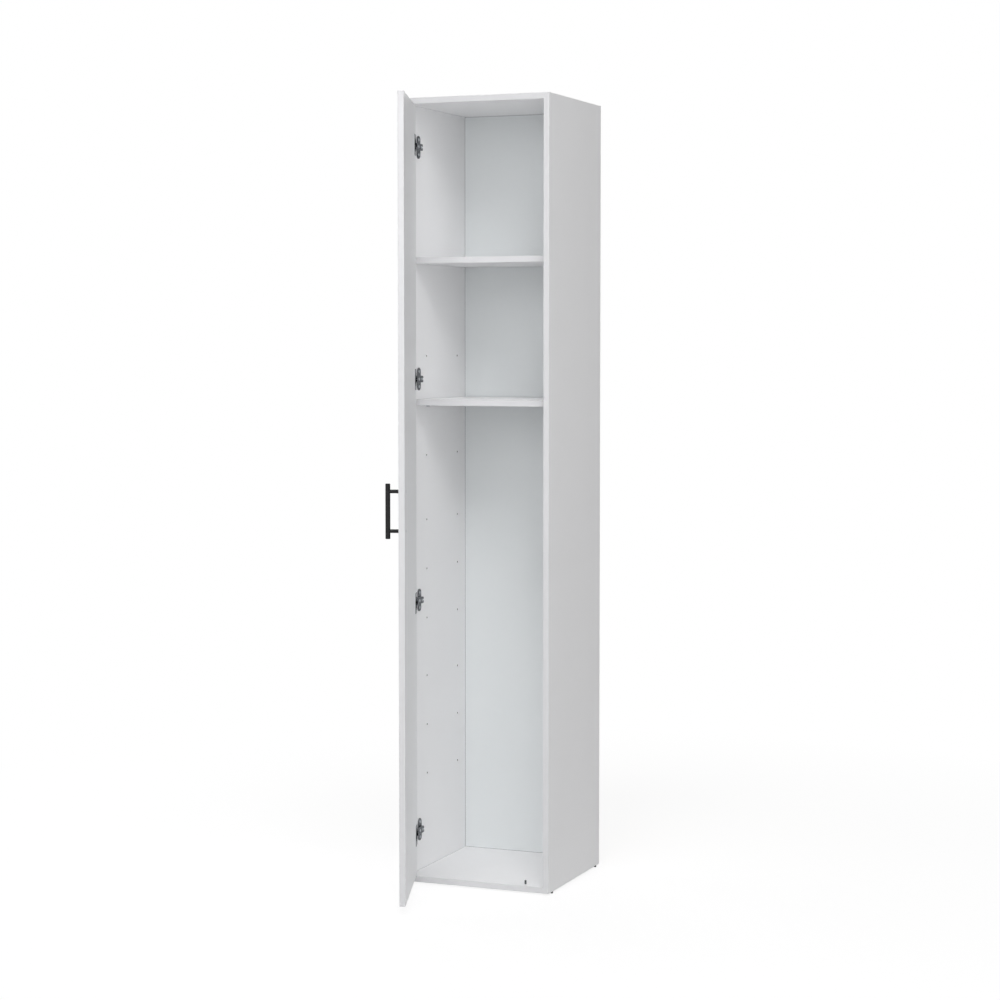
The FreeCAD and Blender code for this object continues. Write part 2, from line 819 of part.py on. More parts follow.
def door_nodes():
    low_post, high_post = handle_post_heights()
    nodes = {
        "door_panel": door_panel(),
        "door_hinge_side_edge_band": door_side_band(door_hinge_edge, -1),
        "door_free_side_edge_band": door_side_band(door_free_edge, 1),
        "door_top_edge_band": door_end_band(door_top, 1),
        "door_bottom_edge_band": door_end_band(door_bottom, -1),
        "handle_bar": handle_bar(),
        "upper_handle_post": handle_post(high_post),
        "lower_handle_post": handle_post(low_post),
        "handle_screws": Part.makeCompound([handle_screw(z) for z in handle_post_heights()]),
        "hinge_cup_screws": Part.makeCompound([cup_screw(place) for place in cup_screw_places()]),
        "hinge_pins": Part.makeCompound([hinge_pin(hinge_z) for hinge_z in hinge_heights]),
    }
    for name, hinge_z in zip(hinge_names, hinge_heights):
        nodes[name + "_hinge_cup"] = hinge_cup(hinge_z)
    return {name: turned_open(shape) for name, shape in nodes.items()}


os.makedirs("parts", exist_ok=True)
for name, shape in {**carcass_nodes(), **door_nodes()}.items():
    shape.exportStep("parts/" + name + ".step")
    print(name, len(shape.Solids), "solid(s)", "valid" if shape.isValid() else "NOT VALID")
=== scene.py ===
import json
import math

import bmesh
import bpy
import numpy as np
from mathutils import Euler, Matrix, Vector


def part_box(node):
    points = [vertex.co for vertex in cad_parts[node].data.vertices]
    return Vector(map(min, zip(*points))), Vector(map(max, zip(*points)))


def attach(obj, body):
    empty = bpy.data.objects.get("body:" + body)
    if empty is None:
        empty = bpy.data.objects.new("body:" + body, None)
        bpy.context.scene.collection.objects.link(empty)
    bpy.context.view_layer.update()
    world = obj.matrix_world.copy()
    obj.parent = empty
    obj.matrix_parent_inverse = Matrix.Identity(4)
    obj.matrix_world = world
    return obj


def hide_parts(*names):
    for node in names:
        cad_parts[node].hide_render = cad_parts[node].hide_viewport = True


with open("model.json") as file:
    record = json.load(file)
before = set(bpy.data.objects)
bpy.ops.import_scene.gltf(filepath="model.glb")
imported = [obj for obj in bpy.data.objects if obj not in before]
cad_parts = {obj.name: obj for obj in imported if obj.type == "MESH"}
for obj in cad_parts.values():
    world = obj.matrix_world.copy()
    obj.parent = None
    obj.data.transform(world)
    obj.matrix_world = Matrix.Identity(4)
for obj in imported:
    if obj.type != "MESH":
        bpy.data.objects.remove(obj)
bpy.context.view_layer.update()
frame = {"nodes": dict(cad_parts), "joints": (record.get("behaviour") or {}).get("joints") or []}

# Looks of the broom cupboard: melamine boards with edge bands, nickel hinges, a black bar handle.
# Metres, in the frame of the solids: +X right seen from the front, +Y to the back, +Z up.

MM = 0.001
ACROSS = Vector((1, 0, 0))
BACK = Vector((0, 1, 0))
UP = Vector((0, 0, 1))
# At rest the door stands open, by the angle that its joint turns back to close it.
door_angle = math.radians(frame["joints"][0]["range_deg"][0])
# The way the inner face of the open door looks.
DOOR_IN = Vector((-math.sin(door_angle), math.cos(door_angle), 0))
HINGES = ("top", "upper", "lower", "bottom")
HINGE_PIECES = ("mounting_plate", "arm", "cup")

# The room inside: from the middle to a side, and from the bottom panel up to the top panel.
side_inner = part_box("right_side_panel")[0][0]
floor_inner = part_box("bottom_panel")[1][2]
ceiling_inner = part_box("top_panel")[0][2]
# The upper ends of the sides start just below their highest point.
side_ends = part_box("right_side_panel")[1][2] - 0.5 * MM

# The shadow line of a tight joint. It is 0.2 mm wide on the real one, which is too fine to show, so it
# is drawn wider.
JOINT_LINE = 0.8 * MM
JOINT_SHADOW = "#8a8b8c"
# A face looks along an axis when at least this share of its normal does.
FACE_ON = 0.5
# Sockets of a Mix node, by number because its names repeat: two colours and their mix, or two values.
COLOUR_A, COLOUR_B, COLOUR_MIX = 6, 7, 2
VALUE_A, VALUE_B, VALUE_MIX = 2, 3, 0


def linear(hex_colour):
    """An sRGB hex colour as the linear colour that shaders take."""
    channels = [int(hex_colour[i:i + 2], 16) / 255 for i in (1, 3, 5)]
    light = [c / 12.92 if c <= 0.04045 else ((c + 0.055) / 1.055) ** 2.4 for c in channels]
    return (*light, 1.0)


def per_mm(size):
    """The texture scale, in metres, whose features are about this many millimetres across."""
    return 1000.0 / size


def add(tree, kind, inputs=None, **settings):
    """Adds a node with its settings.

    An input is a value, a socket to link from, or a list of sockets that are all linked to it.
    """
    made = tree.nodes.new(kind)
    for name, value in settings.items():
        setattr(made, name, value)
    for key, value in (inputs or {}).items():
        for source in value if isinstance(value, list) else [value]:
            if isinstance(source, bpy.types.NodeSocket):
                tree.links.new(source, made.inputs[key])
            else:
                made.inputs[key].default_value = source
    return made


def new_finish(name, **sockets):
    """A material with a principled shader whose even values are set on its own sockets."""
    material = bpy.data.materials.new(name)
    material.use_nodes = True
    tree = material.node_tree
    tree.nodes.clear()
    even_values = {socket.replace("_", " "): value for socket, value in sockets.items()}
    shader = add(tree, "ShaderNodeBsdfPrincipled", even_values)
    add(tree, "ShaderNodeOutputMaterial", {"Surface": shader.outputs["BSDF"]})
    place = add(tree, "ShaderNodeTexCoord")
    return material, tree, shader, place


def melamine_board(name, face_axis, ends_in_joints=False):
    """Particle board faced with white melamine paper, pressed matt.

    The paper is even with a faint cloud in it, a fine pearl grain breaks up the gloss, and holes and cut
    ends show brown chips. The grain is 0.4 mm on the real face and drawn at 2 mm, because it is too fine
    to show. Where a board ends in joints, their shadow line is drawn along both ends.
    """
    chip_roughness = 0.9
    material, tree, shader, place = new_finish(name, IOR=1.5)
    spot = place.outputs["Object"]
    cloud = add(tree, "ShaderNodeTexNoise", {"Vector": spot, "Scale": per_mm(120), "Detail": 4.0})
    paper = add(
        tree,
        "ShaderNodeMix",
        {"Factor": cloud.outputs["Fac"], COLOUR_A: linear("#f5f5f6"), COLOUR_B: linear("#f8f8f9")},
        data_type="RGBA",
    )
    chips = add(tree, "ShaderNodeTexVoronoi", {"Vector": spot, "Scale": per_mm(3.5)})
    chip_tone = add(tree, "ShaderNodeSeparateColor", {0: chips.outputs["Color"]})
    chipboard = add(
        tree,
        "ShaderNodeMix",
        {"Factor": chip_tone.outputs[0], COLOUR_A: linear("#4a443c"), COLOUR_B: linear("#82796c")},
        data_type="RGBA",
    )
    facing = add(
        tree, "ShaderNodeVectorMath", {0: place.outputs["Normal"], 1: face_axis}, operation="DOT_PRODUCT"
    )
    flat = add(tree, "ShaderNodeMath", {0: facing.outputs["Value"]}, operation="ABSOLUTE")
    cut = add(tree, "ShaderNodeMath", {0: flat.outputs[0], 1: FACE_ON}, operation="LESS_THAN")
    # The upper ends of the sides are banded like the front edges.
    axes = add(tree, "ShaderNodeSeparateXYZ", {0: spot})
    under_top = add(tree, "ShaderNodeMath", {0: axes.outputs["Z"], 1: side_ends}, operation="LESS_THAN")
    raw = add(tree, "ShaderNodeMath", {0: cut.outputs[0], 1: under_top.outputs[0]}, operation="MULTIPLY")
    colour = add(
        tree,
        "ShaderNodeMix",
        {
            "Factor": raw.outputs[0],
            COLOUR_A: paper.outputs[COLOUR_MIX],
            COLOUR_B: chipboard.outputs[COLOUR_MIX],
        },
        data_type="RGBA",
    )
    if ends_in_joints:
        aside = add(tree, "ShaderNodeMath", {0: axes.outputs["X"]}, operation="ABSOLUTE")
        joint = add(
            tree,
            "ShaderNodeMath",
            {0: aside.outputs[0], 1: side_inner - JOINT_LINE},
            operation="GREATER_THAN",
        )
        colour = add(
            tree,
            "ShaderNodeMix",
            {
                "Factor": joint.outputs[0],
                COLOUR_A: colour.outputs[COLOUR_MIX],
                COLOUR_B: linear(JOINT_SHADOW),
            },
            data_type="RGBA",
        )
    grain = add(tree, "ShaderNodeTexNoise", {"Vector": spot, "Scale": per_mm(2), "Detail": 2.0})
    gloss = add(
        tree, "ShaderNodeMapRange", {"Value": grain.outputs["Fac"], "To Min": 0.46, "To Max": 0.6}
    )
    rough = add(
        tree,
        "ShaderNodeMix",
        {"Factor": raw.outputs[0], VALUE_A: gloss.outputs["Result"], VALUE_B: chip_roughness},
    )
    relief = add(
        tree, "ShaderNodeBump", {"Height": grain.outputs["Fac"], "Strength": 0.2, "Distance": 0.3 * MM}
    )
    tree.links.new(colour.outputs[COLOUR_MIX], shader.inputs["Base Color"])
    tree.links.new(rough.outputs[VALUE_MIX], shader.inputs["Roughness"])
    tree.links.new(relief.outputs["Normal"], shader.inputs["Normal"])
    return material


def edge_band_plastic():
    """ABS edge band, extruded and scraped flush: satin. Its grey is painted shade: the band is drawn
    darker than the white paper, so that the front edges, which the lamps light most, render darker.

    The scraper leaves a fine chatter in the gloss. It is 0.5 mm long on the real band and drawn at 3 mm,
    because it is too fine to show.
    """
    material, tree, shader, place = new_finish("abs_edge_band", IOR=1.53)
    spot = place.outputs["Object"]
    tint = add(tree, "ShaderNodeTexNoise", {"Vector": spot, "Scale": per_mm(60), "Detail": 3.0})
    # Painted shade: these greys are darker than the white band, to darken the front edges that the lamps
    # light most.
    colour = add(
        tree,
        "ShaderNodeMix",
        {"Factor": tint.outputs["Fac"], COLOUR_A: linear("#d7d7d9"), COLOUR_B: linear("#dbdbdd")},
        data_type="RGBA",
    )
    chatter = add(tree, "ShaderNodeTexNoise", {"Vector": spot, "Scale": per_mm(3), "Detail": 1.0})
    gloss = add(
        tree, "ShaderNodeMapRange", {"Value": chatter.outputs["Fac"], "To Min": 0.32, "To Max": 0.42}
    )
    relief = add(
        tree, "ShaderNodeBump", {"Height": chatter.outputs["Fac"], "Strength": 0.05, "Distance": 0.2 * MM}
    )
    tree.links.new(colour.outputs[COLOUR_MIX], shader.inputs["Base Color"])
    tree.links.new(gloss.outputs["Result"], shader.inputs["Roughness"])
    tree.links.new(relief.outputs["Normal"], shader.inputs["Normal"])
    return material


def hardboard_back():
    """Thin fibreboard, printed a pale cool white on the inside and bare brown behind.

    The print has a faint mottle, and clumps of pressed fibres, about 5 mm wide, show on the bare side.
    """
    room_middle = (floor_inner + ceiling_inner) / 2
    half_room = (ceiling_inner - floor_inner) / 2
    material, tree, shader, place = new_finish("fibreboard_back", IOR=1.5)
    spot = place.outputs["Object"]
    mottle = add(tree, "ShaderNodeTexNoise", {"Vector": spot, "Scale": per_mm(100), "Detail": 4.0})
    print_coat = add(
        tree,
        "ShaderNodeMix",
        {"Factor": mottle.outputs["Fac"], COLOUR_A: linear("#e7ebec"), COLOUR_B: linear("#ebeeef")},
        data_type="RGBA",
    )
    # Painted shadow: the shadow line of the joints is painted all round the print, where the boards stand
    # against it.
    axes = add(tree, "ShaderNodeSeparateXYZ", {0: spot})
    aside = add(tree, "ShaderNodeMath", {0: axes.outputs["X"]}, operation="ABSOLUTE")
    side_joint = add(
        tree,
        "ShaderNodeMath",
        {0: aside.outputs[0], 1: side_inner - JOINT_LINE},
        operation="GREATER_THAN",
    )
    rise = add(tree, "ShaderNodeMath", {0: axes.outputs["Z"], 1: room_middle}, operation="SUBTRACT")
    away = add(tree, "ShaderNodeMath", {0: rise.outputs[0]}, operation="ABSOLUTE")
    level_joint = add(
        tree,
        "ShaderNodeMath",
        {0: away.outputs[0], 1: half_room - JOINT_LINE},
        operation="GREATER_THAN",
    )
    joint = add(
        tree, "ShaderNodeMath", {0: side_joint.outputs[0], 1: level_joint.outputs[0]}, operation="MAXIMUM"
    )
    print_with_joint_shadow = add(
        tree,
        "ShaderNodeMix",
        {
            "Factor": joint.outputs[0],
            COLOUR_A: print_coat.outputs[COLOUR_MIX],
            COLOUR_B: linear(JOINT_SHADOW),
        },
        data_type="RGBA",
    )
    fibre_way = add(tree, "ShaderNodeMapping", {"Vector": spot, "Scale": (1.0, 1.0, 0.35)})
    fibres = add(
        tree,
        "ShaderNodeTexNoise",
        {
            "Vector": fibre_way.outputs[0],
            "Scale": per_mm(5),
            "Detail": 8.0,
            "Roughness": 0.7,
            "Distortion": 1.5,
        },
    )
    bare = add(
        tree,
        "ShaderNodeMix",
        {"Factor": fibres.outputs["Fac"], COLOUR_A: linear("#7d5d3d"), COLOUR_B: linear("#a9855c")},
        data_type="RGBA",
    )
    facing = add(tree, "ShaderNodeSeparateXYZ", {0: place.outputs["Normal"]})
    inside = add(tree, "ShaderNodeMath", {0: facing.outputs["Y"], 1: -FACE_ON}, operation="LESS_THAN")
    colour = add(
        tree,
        "ShaderNodeMix",
        {
            "Factor": inside.outputs[0],
            COLOUR_A: bare.outputs[COLOUR_MIX],
            COLOUR_B: print_with_joint_shadow.outputs[COLOUR_MIX],
        },
        data_type="RGBA",
    )
    rough = add(tree, "ShaderNodeMapRange", {"Value": inside.outputs[0], "To Min": 0.72, "To Max": 0.5})
    relief = add(
        tree, "ShaderNodeBump", {"Height": fibres.outputs["Fac"], "Strength": 0.08, "Distance": 0.3 * MM}
    )
    tree.links.new(colour.outputs[COLOUR_MIX], shader.inputs["Base Color"])
    tree.links.new(rough.outputs["Result"], shader.inputs["Roughness"])
    tree.links.new(relief.outputs["Normal"], shader.inputs["Normal"])
    return material


def plated_steel(name, dark, light, rough_low, rough_high, grain_mm):
    """Plated or cast metal: a soft gloss over the streaks of rolled sheet or the skin of a casting."""
    material, tree, shader, place = new_finish(name, Metallic=1.0)
    spot = place.outputs["Object"]
    streak_way = add(tree, "ShaderNodeMapping", {"Vector": spot, "Scale": (1.0, 0.25, 1.0)})
    streaks = add(
        tree,
        "ShaderNodeTexNoise",
        {"Vector": streak_way.outputs[0], "Scale": per_mm(grain_mm), "Detail": 5.0, "Roughness": 0.6},
    )
    colour = add(
        tree,
        "ShaderNodeMix",
        {"Factor": streaks.outputs["Fac"], COLOUR_A: linear(dark), COLOUR_B: linear(light)},
        data_type="RGBA",
    )
    gloss = add(
        tree,
        "ShaderNodeMapRange",
        {"Value": streaks.outputs["Fac"], "To Min": rough_low, "To Max": rough_high},
    )
    relief = add(
        tree, "ShaderNodeBump", {"Height": streaks.outputs["Fac"], "Strength": 0.08, "Distance": 0.1 * MM}
    )
    tree.links.new(colour.outputs[COLOUR_MIX], shader.inputs["Base Color"])
    tree.links.new(gloss.outputs["Result"], shader.inputs["Roughness"])
    tree.links.new(relief.outputs["Normal"], shader.inputs["Normal"])
    return material


def moulded_plastic(name, dark, light, shine, rough_low, rough_high, texture_mm, depth_mm):
    """Moulded plastic or a baked coat: an even colour with a fine raised texture in its gloss."""
    material, tree, shader, place = new_finish(name, IOR=1.5, Specular_IOR_Level=shine)
    spot = place.outputs["Object"]
    tint = add(tree, "ShaderNodeTexNoise", {"Vector": spot, "Scale": per_mm(20), "Detail": 2.0})
    colour = add(
        tree,
        "ShaderNodeMix",
        {"Factor": tint.outputs["Fac"], COLOUR_A: linear(dark), COLOUR_B: linear(light)},
        data_type="RGBA",
    )
    peel = add(tree, "ShaderNodeTexNoise", {"Vector": spot, "Scale": per_mm(texture_mm), "Detail": 1.5})
    gloss = add(
        tree,
        "ShaderNodeMapRange",
        {"Value": peel.outputs["Fac"], "To Min": rough_low, "To Max": rough_high},
    )
    relief = add(
        tree,
        "ShaderNodeBump",
        {"Height": peel.outputs["Fac"], "Strength": 0.25, "Distance": depth_mm * MM},
    )
    tree.links.new(colour.outputs[COLOUR_MIX], shader.inputs["Base Color"])
    tree.links.new(gloss.outputs["Result"], shader.inputs["Roughness"])
    tree.links.new(relief.outputs["Normal"], shader.inputs["Normal"])
    return material


def turned_beech():
    """Turned beech of the dowels: pale pinkish wood with short dark flecks along the rod."""
    material, tree, shader, place = new_finish("turned_beech", IOR=1.5, Roughness=0.6)
    along = add(tree, "ShaderNodeMapping", {"Vector": place.outputs["Object"], "Scale": (0.12, 1.0, 1.0)})
    grain = add(
        tree,
        "ShaderNodeTexNoise",
        {"Vector": along.outputs[0], "Scale": per_mm(1.2), "Detail": 5.0, "Roughness": 0.6},
    )
    colour = add(
        tree,
        "ShaderNodeMix",
        {"Factor": grain.outputs["Fac"], COLOUR_A: linear("#b98f62"), COLOUR_B: linear("#ddbd93")},
        data_type="RGBA",
    )
    relief = add(
        tree, "ShaderNodeBump", {"Height": grain.outputs["Fac"], "Strength": 0.15, "Distance": 0.1 * MM}
    )
    tree.links.new(colour.outputs[COLOUR_MIX], shader.inputs["Base Color"])
    tree.links.new(relief.outputs["Normal"], shader.inputs["Normal"])
    return material


side_board = melamine_board("melamine_board_upright", ACROSS)
level_board = melamine_board("melamine_board_level", UP, ends_in_joints=True)
door_board = melamine_board("melamine_board_door", DOOR_IN)
edge_band = edge_band_plastic()
fibreboard = hardboard_back()
# Pressed hinge sheet, barrel plated with nickel: a soft dark grey gloss with faint rolling streaks.
hinge_nickel = plated_steel(
    "nickel_plated_hinge_steel", dark="#5f6063", light="#7b7c80",
    rough_low=0.2, rough_high=0.34, grain_mm=6,
)
# Drawn steel of screws, nails and pins, zinc plated: brighter and bluer than the hinges.
fitting_zinc = plated_steel(
    "zinc_plated_steel", dark="#a4a7ab", light="#c3c6ca",
    rough_low=0.25, rough_high=0.4, grain_mm=4,
)
# Cast cams: dull grey with the fine skin of the die.
cast_zinc = plated_steel(
    "die_cast_zinc", dark="#7f8184", light="#96989a",
    rough_low=0.45, rough_high=0.62, grain_mm=1.5,
)
# Powder coat of the handle: near black and low in gloss. Its orange peel of 0.8 mm is too fine to show,
# and drawn at 1.6 mm.
black_coat = moulded_plastic(
    "black_powder_coat", dark="#161617", light="#1b1b1c", shine=0.22,
    rough_low=0.42, rough_high=0.56, texture_mm=1.6, depth_mm=0.12,
)
# Nail-on glides: black polyethylene, dull and waxy.
black_foot = moulded_plastic(
    "black_polyethylene", dark="#0d0d0e", light="#131314", shine=0.15,
    rough_low=0.5, rough_high=0.65, texture_mm=2.0, depth_mm=0.1,
)
# Cover caps: pale grey polystyrene from a lightly etched mould.
grey_cap = moulded_plastic(
    "grey_polystyrene", dark="#dcddde", light="#e2e3e4", shine=0.5,
    rough_low=0.4, rough_high=0.55, texture_mm=2.0, depth_mm=0.08,
)
# Door stop: dark grey nylon, moulded and matt.
dark_nylon = moulded_plastic(
    "dark_grey_nylon", dark="#4e4f51", light="#58595b", shine=0.3,
    rough_low=0.45, rough_high=0.6, texture_mm=1.5, depth_mm=0.08,
)
beech = turned_beech()


def dress(material, *names):
    """Gives CAD nodes their finish."""
    for name in names:
        mesh = frame["nodes"][name].data
        mesh.materials.clear()
        mesh.materials.append(material)


dress(side_board, "left_side_panel", "right_side_panel")
dress(level_board, "top_panel", "bottom_panel", "fixed_shelf", "adjustable_shelf")
dress(door_board, "door_panel")
dress(fibreboard, "back_panel")
dress(edge_band, *[name for name in frame["nodes"] if name.endswith("_edge_band")])
dress(hinge_nickel, *[hinge + "_hinge_" + piece for hinge in HINGES for piece in HINGE_PIECES])
dress(fitting_zinc, "shelf_pins", "cam_bolts", "hinge_pins")
dress(cast_zinc, "cam_locks")
dress(black_coat, "handle_bar", "upper_handle_post", "lower_handle_post")
dress(black_foot, "front_left_foot", "front_right_foot", "rear_left_foot", "rear_right_foot")
dress(dark_nylon, "door_stop_peg")
dress(grey_cap, "cam_cover_caps")
dress(beech, "wood_dowels")


def solids_of(node):
    """The separate solids of a CAD node, each as an array of its corners."""
    same_corner = 0.01 * MM
    shell = bmesh.new()
    shell.from_mesh(frame["nodes"][node].data)
    bmesh.ops.remove_doubles(shell, verts=shell.verts, dist=same_corner)
    waiting = set(shell.verts)
    found = []
    while waiting:
        grown = [waiting.pop()]
        for corner in grown:
            near = {edge.other_vert(corner) for edge in corner.link_edges} & waiting
            waiting -= near
            grown.extend(near)
        found.append(np.array([v.co for v in grown]))
    shell.free()
    return sorted(found, key=lambda corners: tuple(corners.mean(0).round(4)))


def seats_of(node, out, head_height):
    """Where the heads of a node's fasteners meet what they hold, from the solids themselves."""
    out = np.array(out)
    across = np.array(UP if abs(out[2]) < FACE_ON else ACROSS)
    axes = np.array([out, across, np.cross(out, across)])
    seats = []
    for corners in solids_of(node):
        turned = corners @ axes.T
        middle = (turned.min(0) + turned.max(0)) / 2
        middle[0] = turned[:, 0].max() - head_height
        seats.append(middle @ axes)
    return seats


def fastener_tree():
    """Geometry nodes that set one headed fastener on every point, turned to the point's own direction."""
    head_steps = 9
    head_sides = 28
    shank_sides = 20
    # Edges that fold by more than this, in radians, stay crisp.
    crisp_fold = 0.6
    tree = bpy.data.node_groups.new("headed_fasteners", "GeometryNodeTree")
    sizes = (
        "Head Height", "Head Foot Radius", "Head Top Radius", "Head Roundness", "Shank Radius",
        "Shank Length", "Slot Length", "Slot Width", "Slot Depth",
    )
    tree.interface.new_socket("Geometry", in_out="INPUT", socket_type="NodeSocketGeometry")
    for name in sizes:
        tree.interface.new_socket(name, in_out="INPUT", socket_type="NodeSocketFloat")
    tree.interface.new_socket("Slotted", in_out="INPUT", socket_type="NodeSocketBool")
    tree.interface.new_socket("Finish", in_out="INPUT", socket_type="NodeSocketMaterial")
    tree.interface.new_socket("Geometry", in_out="OUTPUT", socket_type="NodeSocketGeometry")
    given = add(tree, "NodeGroupInput").outputs

    # Head: a round swept up its height, from its foot radius to its top radius.
    head_top = add(tree, "ShaderNodeCombineXYZ", {"Z": given["Head Height"]})
    spine = add(tree, "GeometryNodeCurvePrimitiveLine", {"End": head_top.outputs[0]})
    steps = add(tree, "GeometryNodeResampleCurve", {"Curve": spine.outputs[0], "Count": head_steps})
    rise = add(tree, "GeometryNodeSplineParameter")
    bend = add(
        tree, "ShaderNodeMath", {0: rise.outputs["Factor"], 1: given["Head Roundness"]}, operation="POWER"
    )
    width = add(
        tree,
        "ShaderNodeMapRange",
        {
            "Value": bend.outputs[0],
            "To Min": given["Head Foot Radius"],
            "To Max": given["Head Top Radius"],
        },
    )
    ring = add(tree, "GeometryNodeCurvePrimitiveCircle", {"Resolution": head_sides, "Radius": 1.0})
    head = add(
        tree,
        "GeometryNodeCurveToMesh",
        {
            "Curve": steps.outputs[0],
            "Profile Curve": ring.outputs[0],
            "Scale": width.outputs["Result"],
            "Fill Caps": True,
        },
    )

    # Cross slot, cut into the top of the head by two bars whose upper halves stand out of it.
    bar_height = add(tree, "ShaderNodeMath", {0: given["Slot Depth"], 1: 2.0}, operation="MULTIPLY")
    bars = []
    for x, y in (("Slot Length", "Slot Width"), ("Slot Width", "Slot Length")):
        size = add(
            tree, "ShaderNodeCombineXYZ", {"X": given[x], "Y": given[y], "Z": bar_height.outputs[0]}
        )
        bar = add(tree, "GeometryNodeMeshCube", {"Size": size.outputs[0]})
        raised = add(
            tree,
            "GeometryNodeTransform",
            {"Geometry": bar.outputs[0], "Translation": head_top.outputs[0]},
        )
        bars.append(raised.outputs[0])
    slotted = add(
        tree,
        "GeometryNodeMeshBoolean",
        {"Mesh 1": head.outputs[0], "Mesh 2": bars},
        operation="DIFFERENCE",
        solver="EXACT",
    )
    chosen = add(
        tree,
        "GeometryNodeSwitch",
        {"Switch": given["Slotted"], "False": head.outputs[0], "True": slotted.outputs[0]},
        input_type="GEOMETRY",
    )

    # Shank, down from the seat.
    shank_drop = add(tree, "ShaderNodeMath", {0: given["Shank Length"], 1: -0.5}, operation="MULTIPLY")
    shank_place = add(tree, "ShaderNodeCombineXYZ", {"Z": shank_drop.outputs[0]})
    shank = add(
        tree,
        "GeometryNodeMeshCylinder",
        {"Vertices": shank_sides, "Radius": given["Shank Radius"], "Depth": given["Shank Length"]},
    )
    sunk = add(
        tree,
        "GeometryNodeTransform",
        {"Geometry": shank.outputs["Mesh"], "Translation": shank_place.outputs[0]},
    )
    whole = add(tree, "GeometryNodeJoinGeometry", {"Geometry": [chosen.outputs[0], sunk.outputs[0]]})

    # Round faces are shaded smooth, and the edges between them stay crisp.
    fold = add(tree, "GeometryNodeInputMeshEdgeAngle")
    soft = add(
        tree,
        "FunctionNodeCompare",
        {0: fold.outputs["Unsigned Angle"], 1: crisp_fold},
        operation="LESS_THAN",
    )
    smooth = add(tree, "GeometryNodeSetShadeSmooth", {"Geometry": whole.outputs[0], "Shade Smooth": True})
    crisp = add(
        tree,
        "GeometryNodeSetShadeSmooth",
        {"Geometry": smooth.outputs[0], "Shade Smooth": soft.outputs[0]},
        domain="EDGE",
    )

    # One on every point, with the slot at any angle.
    way = add(tree, "GeometryNodeInputNamedAttribute", {"Name": "out"}, data_type="FLOAT_VECTOR")
    aimed = add(tree, "FunctionNodeAlignRotationToVector", {"Vector": way.outputs["Attribute"]}, axis="Z")
    angle = add(tree, "FunctionNodeRandomValue", {2: 0.0, 3: math.pi / 2, "Seed": 7}, data_type="FLOAT")
    spin = add(tree, "FunctionNodeAxisAngleToRotation", {"Axis": UP, "Angle": angle.outputs[1]})
    turned = add(
        tree,
        "FunctionNodeRotateRotation",
        {"Rotation": aimed.outputs[0], "Rotate By": spin.outputs[0]},
        rotation_space="LOCAL",
    )
    placed = add(
        tree,
        "GeometryNodeInstanceOnPoints",
        {"Points": given["Geometry"], "Instance": crisp.outputs[0], "Rotation": turned.outputs[0]},
    )
    real = add(tree, "GeometryNodeRealizeInstances", {"Geometry": placed.outputs[0]})
    finished = add(
        tree, "GeometryNodeSetMaterial", {"Geometry": real.outputs[0], "Material": given["Finish"]}
    )
    add(tree, "NodeGroupOutput", {"Geometry": finished.outputs[0]})
    return tree


fasteners = fastener_tree()


def head_sizes(height, foot_radius, top_radius, roundness, shank_radius, shank_length, slot=0.0):
    """Sizes of a fastener in millimetres, as the tree takes them. A nail has no slot.

    The cross slot is a fifth as wide as it is long, and goes through six tenths of the head.
    """
    slot_width = 0.2 * slot
    slot_depth = 0.6 * height
    return {
        "Head Height": height * MM,
        "Head Foot Radius": foot_radius * MM,
        "Head Top Radius": top_radius * MM,
        "Head Roundness": roundness,
        "Shank Radius": shank_radius * MM,
        "Shank Length": shank_length * MM,
        "Slot Length": slot * MM,
        "Slot Width": slot_width * MM,
        "Slot Depth": slot_depth * MM,
        "Slotted": slot > 0,
    }


def fit_fasteners(node, body, out, sizes):
    """Replaces a CAD node of fasteners by headed ones at the same seats, as one mesh."""
    seats = seats_of(node, out, sizes["Head Height"])
    points = bpy.data.meshes.new(node + "_points")
    points.from_pydata([tuple(seat) for seat in seats], [], [])
    aim = points.attributes.new("out", "FLOAT_VECTOR", "POINT")
    aim.data.foreach_set("vector", list(out) * len(seats))
    carrier = bpy.data.objects.new(node + "_carrier", points)
    bpy.context.scene.collection.objects.link(carrier)
    modifier = carrier.modifiers.new("fasteners", "NODES")
    modifier.node_group = fasteners
    values = {**sizes, "Finish": fitting_zinc}
    for item in fasteners.interface.items_tree:
        if item.in_out == "INPUT" and item.name in values:
            modifier[item.identifier] = values[item.name]
    bpy.context.view_layer.update()
    evaluated = carrier.evaluated_get(bpy.context.evaluated_depsgraph_get())
    mesh = bpy.data.meshes.new_from_object(evaluated)
    bpy.data.objects.remove(carrier)
    piece = bpy.data.objects.new(node + "_headed", mesh)
    bpy.context.scene.collection.objects.link(piece)
    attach(piece, body)
    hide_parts(node)


# Pan heads on the hinges, countersunk heads in the door, and flat nail heads behind and below.
fit_fasteners(
    "hinge_plate_screws", "carcass", ACROSS,
    head_sizes(
        height=1.8, foot_radius=3.8, top_radius=1.9, roundness=3.0, slot=4.4,
        shank_radius=2.2, shank_length=13.0,
    ),
)
fit_fasteners(
    "hinge_arm_screws", "carcass", ACROSS,
    head_sizes(
        height=2.0, foot_radius=3.6, top_radius=2.2, roundness=4.0, slot=4.4,
        shank_radius=2.0, shank_length=6.5,
    ),
)
fit_fasteners(
    "hinge_cup_screws", "door", DOOR_IN,
    head_sizes(
        height=1.0, foot_radius=1.6, top_radius=3.2, roundness=1.0, slot=3.6,
        shank_radius=1.6, shank_length=10.0,
    ),
)
fit_fasteners(
    "handle_screws", "door", DOOR_IN,
    head_sizes(
        height=2.4, foot_radius=2.0, top_radius=4.2, roundness=1.0, slot=4.8,
        shank_radius=2.0, shank_length=24.6,
    ),
)
fit_fasteners(
    "back_panel_nails", "carcass", BACK,
    head_sizes(
        height=0.8, foot_radius=1.9, top_radius=2.0, roundness=1.0,
        shank_radius=0.8, shank_length=19.2,
    ),
)
